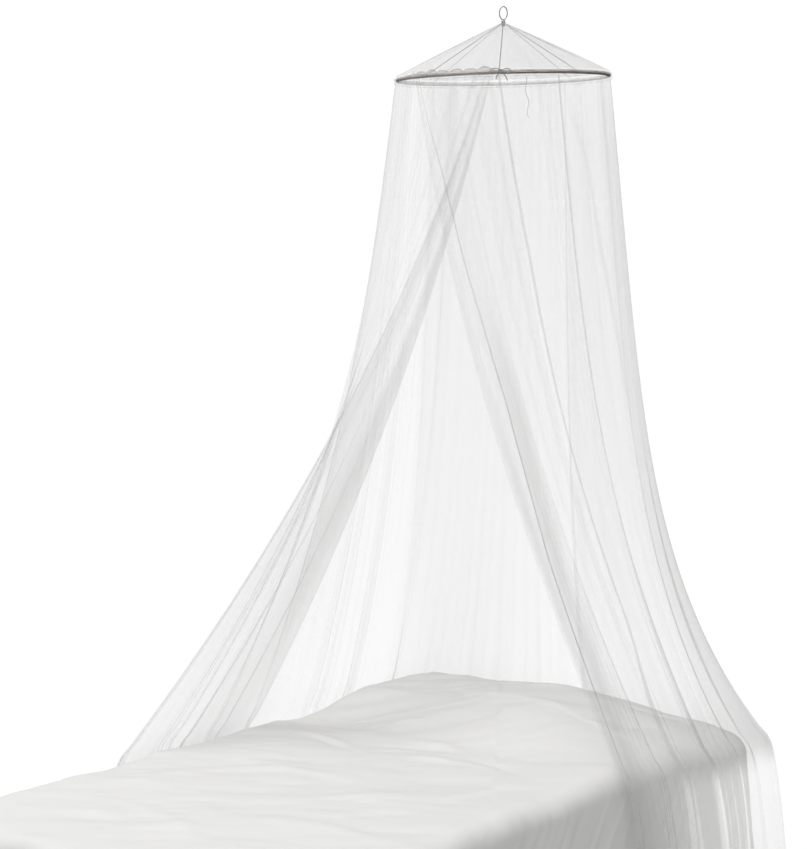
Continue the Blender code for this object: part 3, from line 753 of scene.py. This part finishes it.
class CANOPY_OT_band(bpy.types.Operator):
    """Wrap the gathered heading of the net around the hoop, with its frill at the front"""

    bl_idname = "canopy.band"
    bl_label = "Heading"

    def execute(self, context):
        settings = context.scene.canopy_net
        sheer = net_material("sheer_heading", settings, bpy.data.node_groups["netting"])
        # Painted shade: the heading's thread is much darker than the rest of the net, standing in for the
        # shade it hangs in.
        painted_shade_tone = sheer.node_tree.nodes["Principled BSDF"].inputs["Base Color"]
        painted_shade_tone.default_value = (0.34, 0.33, 0.32, 1.0)
        columns, rows = 900, 10
        u = np.linspace(0.0, 1.0, columns + 1)[None, :]
        v = np.linspace(0.0, 1.0, rows + 1)[:, None]
        direction = 180.0 - 360.0 * u + 0.0 * v
        frill = ease((direction - FRILL_FROM) / 8.0) * ease((FRILL_TO - direction) / 3.0)
        bump = np.abs(np.sin(np.radians((direction - FRILL_FROM) * 180.0 / SCALLOP_WIDE)))
        big = 1.0 + 0.9 * np.exp(-((direction - TALLEST_SCALLOP) / 6.0) ** 2)
        uneven = 0.75 + 0.35 * soft_field(direction / SCALLOP_WIDE, 0.0 * direction, 3)
        rise = HEADING_RISE + frill * SCALLOP_RISE * big * uneven * np.sqrt(bump)
        gathers = soft_field(direction / 1.3, 2.0 * v, 9) + 0.5 * soft_field(direction / 0.5, 1.0 * v, 8)
        flutter = frill * 0.0016 * np.sin(np.radians(direction * 26)) * (1 - v) ** 2
        radius = HEADING_RADIUS + 0.0008 * gathers + flutter
        x, y = around(direction, radius)
        z = hoop_height(x, y) + rise + (HEADING_LOW - rise) * v
        places = np.stack([x, y, z], axis=-1)
        made, row, column = grid_piece("heading_cloth", columns, rows, places, 3.6, HEADING_DEEP)
        crest = np.exp(-v / 0.09) * (0.3 + 9.0 * frill)
        shade = 0.9 + 0.8 * gathers + crest + 1.6 * frill * (1.0 - v)
        shade = shade * np.where(direction > 2.0, 0.8, 1.15)
        add_attribute(made.data, "gather", np.clip(shade, 0.2, 9.0)[row, column])
        finish_piece(made, sheer, ["heading_band"])
        return {"FINISHED"}


class CANOPY_OT_sleeve(bpy.types.Operator):
    """Roll the net's edge around the hoop: thick at the back, thin where the metal shows at the front"""

    bl_idname = "canopy.sleeve"
    bl_label = "Sleeve"

    def execute(self, context):
        sheer = net_material("sheer_sleeve", context.scene.canopy_net, bpy.data.node_groups["netting"])
        columns, rows = 480, 16
        u = np.linspace(0.0, 1.0, columns + 1)[None, :]
        v = np.linspace(0.0, 1.0, rows + 1)[:, None]
        direction = 180.0 - 360.0 * u + 0.0 * v
        roll = 2.0 * np.pi * v + 0.0 * u
        gathers = soft_field(direction / 1.7, 3.0 * v, 31)
        tube = HOOP_TUBE - 0.0003 + 0.0004 * gathers
        x, y = around(direction, HOOP_RADIUS + tube * np.cos(roll))
        middle_x, middle_y = around(direction, HOOP_RADIUS)
        z = hoop_height(middle_x, middle_y) + tube * np.sin(roll)
        places = np.stack([x, y, z], axis=-1)
        made, row, column = grid_piece("sleeve_cloth", columns, rows, places, 1.93, SLEEVE_DEEP)
        back = ease((np.abs(direction) - 80.0) / 22.0)
        left = ease((-direction) / 14.0) * (1.0 - back)
        upper = ease(0.5 + 1.1 * np.sin(roll))
        right = (1.0 - left) * (1.0 - back)
        shade = 0.2 + 17.0 * back + left * (1.0 + 1.8 * upper) + right * 2.6 * upper ** 2
        shade = shade * (1.0 + 0.35 * gathers)
        add_attribute(made.data, "gather", np.clip(shade, 0.0, 24.0)[row, column])
        # Painted light: an even glow over the whole sleeve, so the far side of the hoop looks paler.
        add_attribute(made.data, "painted_glow_amount", (SLEEVE_PAINTED_LIGHT + 0.0 * shade)[row, column])
        finish_piece(made, sheer, [])
        return {"FINISHED"}


class CANOPY_OT_cover(bpy.types.Operator):
    """Lay the bed cover over mattress and pillow, and finish the bed under it"""

    bl_idname = "canopy.cover"
    bl_label = "Bed cover"

    def execute(self, context):
        colour = context.scene.canopy_bed.cover_colour
        cotton = cloth_material("cotton_cover", colour)
        columns, rows = 260, 360
        half_wide, half_long = COVER_HALF_WIDE, COVER_HALF_LONG
        middle_y = (MATTRESS_LOW[1] + MATTRESS_HIGH[1]) / 2.0
        turn, drop = COVER_TURN, COVER_DROP
        a = np.linspace(-1.0, 1.0, columns + 1)[None, :] * (half_wide + drop)
        b = np.linspace(1.0, -1.0, rows + 1)[:, None] * (half_long + drop)
        inner_x = np.clip(a, turn - half_wide, half_wide - turn) + 0.0 * b
        inner_y = np.clip(b, turn - half_long, half_long - turn) + 0.0 * a
        over_x, over_y = a - inner_x, b - inner_y
        reach = np.maximum(np.abs(over_x), np.abs(over_y))
        size = np.maximum(np.hypot(over_x, over_y), 1e-9)
        out_x, out_y = over_x / size, over_y / size
        quarter = turn * math.pi / 2.0
        angle = np.clip(reach / turn, 0.0, math.pi / 2.0)
        hung = np.clip(reach - quarter, 0.0, None)
        round_edge = inner_x + 0.7 * inner_y + 0.16 * np.arctan2(out_y, out_x) * (size > 1e-6)
        folds = soft_field(round_edge / 0.085, hung * 1.6, 4)
        folds = folds + 0.6 * soft_field(round_edge / 0.035, hung * 2.0, 6)
        folds = folds + 0.30 * soft_field((round_edge + 0.5 * hung) / 0.014, hung * 3.0, 7)
        down = hung / (drop - quarter + turn)
        corner = np.exp(-np.hypot(inner_x - 0.56, inner_y - half_long) / 0.22)
        out = turn * np.sin(angle) + down * (0.022 + 0.026 * corner) + 0.082 * corner * np.sin(angle)
        out = out + folds * (0.0042 + 0.011 * down) * np.sin(angle)
        x, y = inner_x + out_x * out, inner_y + out_y * out + middle_y
        z = BED_TOP_Z + COVER_ABOVE_BED - turn * (1.0 - np.cos(angle)) - hung * 0.985
        flat_y = b + middle_y
        rise = self.head_rise(a, flat_y) * (1.0 - ease(hung / 0.25))
        slant_x, slant_y = a * 0.8 + flat_y * 0.6, flat_y * 0.8 - a * 0.6
        lumps = 0.0060 * soft_field(a / 0.19 + 3.0, flat_y / 0.15, 21)
        lumps = lumps + 0.0042 * soft_field(slant_x / 0.14, slant_y / 0.06, 22)
        near = 0.5 + 0.5 * soft_field(a / 0.25, flat_y / 0.22, 29)
        lumps = lumps + near * 0.0021 * soft_field(slant_x / 0.08, slant_y / 0.026, 23)
        lumps = lumps + near * 0.0007 * soft_field(a / 0.016, flat_y / 0.022, 24)
        z = z + rise + (lumps + self.creases(a, flat_y)) * (1.0 - ease(hung / 0.06))
        places = np.stack([x, y, z], axis=-1)
        wide, long = 2 * (half_wide + drop), 2 * (half_long + drop)
        made, row, column = grid_piece("bed_cover_cloth", columns, rows, places, wide, long)
        finish_piece(made, cotton, ["bed_cover"])
        ticking = cloth_material("cotton_ticking", (0.80, 0.79, 0.76))
        painted = painted_material("painted_wood", (0.62, 0.60, 0.57))
        self.pillow(cotton)
        for name, finish in (("mattress", ticking), ("bed_base", painted)):
            dress(name, finish)
        for end in ("foot", "head"):
            for side in ("left", "right"):
                dress(f"bed_leg_{end}_{side}", painted)
        return {"FINISHED"}

    def pillow(self, finish):
        """A flat oval cushion at the head end."""
        deselect()
        bpy.ops.mesh.primitive_uv_sphere_add(segments=96, ring_count=48, radius=1.0)
        made = bpy.context.object
        made.name = made.data.name = "pillow_body"
        made.scale = PILLOW_HALF_SIZES
        made.location = (0.0, MATTRESS_HIGH[1] - PILLOW_FROM_HEAD, MATTRESS_HIGH[2] + PILLOW_HALF_SIZES[2])
        bpy.ops.object.transform_apply(location=True, rotation=False, scale=True)
        bpy.ops.object.shade_smooth()
        finish_piece(made, finish, ["pillow"])

    def head_rise(self, x, y):
        """Height of the pillow's swelling under the cover."""
        start = -0.20 - 0.16 * ease((x + 0.50) / 0.50)
        along = ease((y - start) / (0.04 - start)) * (1.0 - 0.62 * ease((y - 0.16) / 0.24))
        hollow = -0.016 * np.exp(-((y + 0.30) / 0.10) ** 2) * ease((-x - 0.20) / 0.30)
        knots = (-0.62, -0.50, -0.35, -0.18, -0.05, 0.08, 0.22, 0.36, 0.47, 0.58)
        rises = (0.020, 0.030, 0.038, 0.062, 0.084, 0.095, 0.084, 0.058, 0.030, 0.006)
        across = 0.0 * x
        for shift, weight in ((-0.05, 0.25), (0.0, 0.5), (0.05, 0.25)):
            across = across + weight * np.interp(x + shift, knots, rises)
        return along * across + hollow

    def creases(self, x, y):
        """Main creases of the cover: middle, direction, length, width and height of each."""
        total = 0.0 * x + 0.0 * y
        for at_x, at_y, turn, length, width, height in COVER_CREASES:
            c, s = math.cos(math.radians(turn)), math.sin(math.radians(turn))
            along = ((x - at_x) * c + (y - at_y) * s) / length
            across = (-(x - at_x) * s + (y - at_y) * c + 0.10 * length * (along ** 2)) / width
            total = total + height * np.exp(-along ** 4) * np.exp(-across ** 2)
        return total


class CANOPY_OT_metal(bpy.types.Operator):
    """Bend the hoop, and give the hanging eye and its ferrule their finish"""

    bl_idname = "canopy.metal"
    bl_label = "Metal"

    def execute(self, context):
        settings = context.scene.canopy_metal
        hoop = metal_material("hoop_steel", settings.hoop_colour, 0.38, 0.55)
        eye = metal_material("eye_steel", settings.eye_colour, 0.32, 0.25)
        self.bend_hoop(hoop)
        for name in ("hanging_eye", "ferrule"):
            dress(name, eye)
        return {"FINISHED"}

    def bend_hoop(self, finish):
        """The hoop's ring, tilted a little to one side."""
        deselect()
        bpy.ops.mesh.primitive_torus_add(major_segments=256, minor_segments=20, major_radius=HOOP_RADIUS,
                                         minor_radius=HOOP_TUBE - 0.0010, generate_uvs=True)
        made = bpy.context.object
        made.name = made.data.name = "hoop_ring"
        tilt = math.atan2(HOOP_DROP_LEFT, HOOP_RADIUS)
        made.rotation_mode = "QUATERNION"
        axis = Vector((math.sin(DOOR_TURN), -math.cos(DOOR_TURN), 0.0))
        made.rotation_quaternion = Quaternion(axis, tilt)
        made.location = (0.0, 0.0, HOOP_Z)
        bpy.ops.object.transform_apply(location=True, rotation=True)
        bpy.ops.object.shade_smooth()
        finish_piece(made, finish, ["hoop"])


class CANOPY_OT_cords(bpy.types.Operator):
    """Twist the cords that carry the hoop, give the bow its finish and lay its tail"""

    bl_idname = "canopy.cords"
    bl_label = "Cords"

    def execute(self, context):
        dark = cord_material("grey_cord", (0.30, 0.295, 0.29))
        mid = cord_material("light_grey_cord", (0.42, 0.415, 0.41))
        pale = cord_material("pale_cord", (0.66, 0.65, 0.63))
        white = cord_material("white_cord", (0.97, 0.97, 0.96))
        finishes = (dark, mid, mid, pale, pale)
        for (name, turn, radius), finish in zip(HANGERS, finishes):
            self.hanger(name, turn, radius, finish)
        for name in ("bow_knot", "bow_loop_left", "bow_loop_right", "bow_end_left", "bow_end_right"):
            dress(name, dark)
        self.tail(white)
        return {"FINISHED"}

    def hanger(self, name, turn, radius, finish):
        """One taut cord from the ferrule to the hoop."""
        start = np.array([*(float(c) for c in around(turn, HANGER_START)), HANGER_TOP_Z])
        foot_x, foot_y = (float(c) for c in around(turn, HOOP_RADIUS))
        end = np.array([foot_x, foot_y, float(hoop_height(foot_x, foot_y)) + HANGER_FOOT_ABOVE_HOOP])
        made = twisted("hanging_" + name, start, end, radius, finish)
        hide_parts(name)

    def tail(self, finish):
        """The tie's slack end, hanging from the bow's side of the hoop."""
        data = bpy.data.curves.new("tie_tail_cord", "CURVE")
        data.dimensions = "3D"
        data.bevel_depth = TAIL_THICKNESS / 2.0
        data.bevel_resolution = 3
        data.resolution_u = 10
        line = data.splines.new("NURBS")
        line.points.add(len(TIE_TAIL_ROUTE) - 1)
        for point, (across, towards, above) in zip(line.points, TIE_TAIL_ROUTE):
            x, y = to_row(across, towards)
            point.co = (x, y, HOOP_Z + above, 1.0)
        line.order_u = 4
        line.use_endpoint_u = True
        made = bpy.data.objects.new("tie_tail_cord", data)
        bpy.context.scene.collection.objects.link(made)
        finish_piece(made, finish, ["tie_tail"])
        x, y = to_row(*TIE_TAIL_ROUTE[0][:2])


class CANOPY_OT_stage(bpy.types.Operator):
    """Set up the pale floor, the soft light and the camera"""

    bl_idname = "canopy.stage"
    bl_label = "Stage"

    def execute(self, context):
        self.floor()
        self.light(context)
        self.camera(context)
        return {"FINISHED"}

    def floor(self):
        """A wide floor that the camera sees as white."""
        deselect()
        bpy.ops.mesh.primitive_plane_add(size=FLOOR_SIZE, location=(0.0, 0.0, FLOOR_Z))
        floor = bpy.context.object
        floor.name = "stage_floor"
        bpy.ops.object.transform_apply(location=True)
        made, nodes, links, shader = new_material("pale_floor")
        shader.inputs["Base Color"].default_value = (0.02, 0.02, 0.02, 1.0)
        shader.inputs["Roughness"].default_value = 1.0
        shader.inputs["Specular IOR Level"].default_value = 0.0
        shader.inputs["Emission Color"].default_value = (1.0, 1.0, 1.0, 1.0)
        path = nodes.new("ShaderNodeLightPath")
        links.new(path.outputs["Is Camera Ray"], shader.inputs["Emission Strength"])
        floor.data.materials.append(made)

    def light(self, context):
        """Soft light all around, seen as white, and three area lights."""
        world = bpy.data.worlds.new("studio")
        context.scene.world = world
        world.use_nodes = True
        nodes, links = world.node_tree.nodes, world.node_tree.links
        nodes.clear()
        out = nodes.new("ShaderNodeOutputWorld")
        soft = nodes.new("ShaderNodeBackground")
        soft.inputs["Color"].default_value = (1.0, 1.0, 1.0, 1.0)
        soft.inputs["Strength"].default_value = SOFT_LIGHT
        seen = nodes.new("ShaderNodeBackground")
        seen.inputs["Color"].default_value = (1.0, 1.0, 1.0, 1.0)
        seen.inputs["Strength"].default_value = BACKGROUND
        path = nodes.new("ShaderNodeLightPath")
        mix = nodes.new("ShaderNodeMixShader")
        links.new(path.outputs["Is Camera Ray"], mix.inputs[0])
        links.new(soft.outputs[0], mix.inputs[1])
        links.new(seen.outputs[0], mix.inputs[2])
        links.new(mix.outputs[0], out.inputs[0])
        for name, place, aim, size, power in LIGHTS:
            data = bpy.data.lights.new(name, "AREA")
            data.size = size
            data.energy = power
            lamp = bpy.data.objects.new(name, data)
            lamp.location = place
            lamp.visible_camera = False
            lamp.rotation_euler = (Vector(aim) - Vector(place)).to_track_quat("-Z", "Y").to_euler()
            context.scene.collection.objects.link(lamp)
        context.scene.view_settings.view_transform = "Standard"
        context.scene.cycles.transparent_max_bounces = 40

    def camera(self, context):
        """The camera, in front of the doorway and below the hoop."""
        settings = context.scene.canopy_stage
        data = bpy.data.cameras.new("camera")
        data.lens = settings.lens
        data.sensor_width = 36.0
        camera = bpy.data.objects.new("camera", data)
        x, y = to_row(0.0, settings.distance)
        camera.location = (x, y, HOOP_Z - CAMERA_BELOW_HOOP)
        pitch = math.radians(90.0 - CAMERA_LOOKS_DOWN)
        camera.rotation_euler = (pitch, 0.0, DOOR_TURN + math.radians(CAMERA_LOOKS_LEFT))
        context.scene.collection.objects.link(camera)
        context.scene.camera = camera


class CANOPY_PT_panel(bpy.types.Panel):
    """Lists the steps that build the canopy's finish"""

    bl_idname = "CANOPY_PT_panel"
    bl_label = "Canopy"
    bl_space_type = "VIEW_3D"
    bl_region_type = "UI"
    bl_category = "Canopy"

    def draw(self, context):
        for operator in OPERATORS:
            self.layout.operator(operator.bl_idname)


SETTINGS = (
    ("canopy_net", CanopyNetSettings),
    ("canopy_bed", CanopyBedSettings),
    ("canopy_metal", CanopyMetalSettings),
    ("canopy_stage", CanopyStageSettings),
)
OPERATORS = (
    CANOPY_OT_panels, CANOPY_OT_cone, CANOPY_OT_band, CANOPY_OT_sleeve, CANOPY_OT_cover,
    CANOPY_OT_metal, CANOPY_OT_cords, CANOPY_OT_stage,
)


def register():
    """Add the settings, the steps and the panel."""
    for name, group in SETTINGS:
        bpy.utils.register_class(group)
        setattr(bpy.types.Scene, name, PointerProperty(type=group))
    for operator in OPERATORS:
        bpy.utils.register_class(operator)
    bpy.utils.register_class(CANOPY_PT_panel)


def unregister():
    """Take away what register added."""
    bpy.utils.unregister_class(CANOPY_PT_panel)
    for operator in reversed(OPERATORS):
        bpy.utils.unregister_class(operator)
    for name, group in reversed(SETTINGS):
        delattr(bpy.types.Scene, name)
        bpy.utils.unregister_class(group)


def write_sizes():
    """Bring the scene's placements up to date."""
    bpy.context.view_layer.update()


def main():
    """Run every step in order and bring the scene up to date."""
    register()
    for operator in OPERATORS:
        group, name = operator.bl_idname.split(".")
        getattr(getattr(bpy.ops, group), name)()
    write_sizes()


if __name__ == "__main__":
    main()
